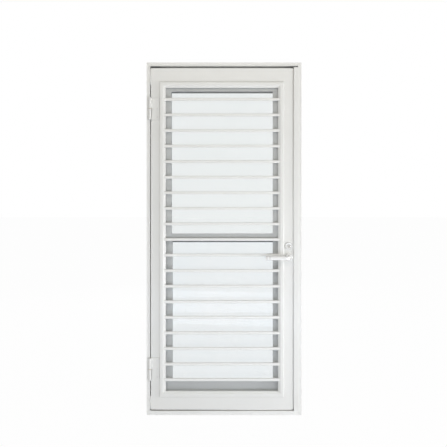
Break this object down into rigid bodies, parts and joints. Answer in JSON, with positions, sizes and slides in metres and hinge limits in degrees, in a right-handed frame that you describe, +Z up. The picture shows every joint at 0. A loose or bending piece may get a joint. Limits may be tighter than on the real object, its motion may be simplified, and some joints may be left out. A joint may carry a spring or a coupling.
{
  "type": "aluminium ventilation door",
  "caption": "Hinged aluminium door in a frame, with horizontal bars over an insect screen and two glazed sashes in vertical tracks, lever handle and key cylinder.",
  "frame": {"origin": "middle of the underside of the sill, halfway through the depth of the frame", "axes": "+Z up, +X to the right seen from outside (the handle side), +Y into the building; the front of the frame faces -Y"},
  "size_m": [0.9, 0.1691, 2.05],
  "materials": {
    "coated_aluminium": "satin pale grey powder coat",
    "sash_aluminium": "satin pale grey powder coat",
    "window_glass": "clear float glass",
    "screen_mesh": "woven glass-fibre screen, grey",
    "seal_rubber": "matt",
    "latch_plastic": "matt grey",
    "hinge_metal": "satin grey coat",
    "washer_brass": "plain",
    "handle_metal": "satin",
    "cylinder_metal": "satin nickel",
    "lock_steel": "plain"
  },
  "bodies": {
    "frame": {"hinge_jamb": "coated_aluminium", "lock_jamb": "coated_aluminium", "strike_rail": "coated_aluminium", "frame_head": "coated_aluminium", "frame_sill": "coated_aluminium", "door_seal": "seal_rubber", "strike_plate": "lock_steel", "top_hinge_frame_half": "hinge_metal", "top_hinge_washer": "washer_brass", "bottom_hinge_frame_half": "hinge_metal", "bottom_hinge_washer": "washer_brass"},
    "leaf": {"hinge_stile": "coated_aluminium", "lock_stile": "coated_aluminium", "top_rail": "coated_aluminium", "bottom_rail": "coated_aluminium", "vent_bars": "coated_aluminium", "inner_frame_left": "coated_aluminium", "inner_frame_right": "coated_aluminium", "inner_frame_bottom": "coated_aluminium", "inner_frame_top": "coated_aluminium", "screen_clip": "sash_aluminium", "upper_sash_left": "sash_aluminium", "upper_sash_right": "sash_aluminium", "upper_sash_foot": "sash_aluminium", "upper_sash_head": "sash_aluminium", "lower_sash_left": "sash_aluminium", "lower_sash_right": "sash_aluminium", "lower_sash_foot": "sash_aluminium", "lower_sash_head": "sash_aluminium", "upper_sash_glass": "window_glass", "lower_sash_glass": "window_glass", "insect_screen": "screen_mesh", "sash_latches": "latch_plastic", "top_hinge_leaf_half": "hinge_metal", "bottom_hinge_leaf_half": "hinge_metal", "lever_rose": "handle_metal", "cylinder_rose": "handle_metal", "inner_plate": "handle_metal", "thumbturn": "handle_metal", "lock_cylinder": "cylinder_metal", "latch_faceplate": "lock_steel", "lock_bolts": "lock_steel"},
    "lever": {"outer_lever": "handle_metal", "inner_lever": "handle_metal", "spindle": "lock_steel"}
  },
  "joints": [
    {"name": "leaf_swing", "type": "hinge", "parent": "frame", "child": "leaf", "pos_m": [-0.4285, -0.053, 1.025], "axis": [0, 0, -1], "range_deg": [0, 170]},
    {"name": "lever_turn", "type": "hinge", "parent": "leaf", "child": "lever", "pos_m": [0.377, -0.041, 0.918], "axis": [0, -1, 0], "range_deg": [0, 45], "stiffness_Nm_per_rad": 1.2, "springref_deg": -20.05}
  ]
}
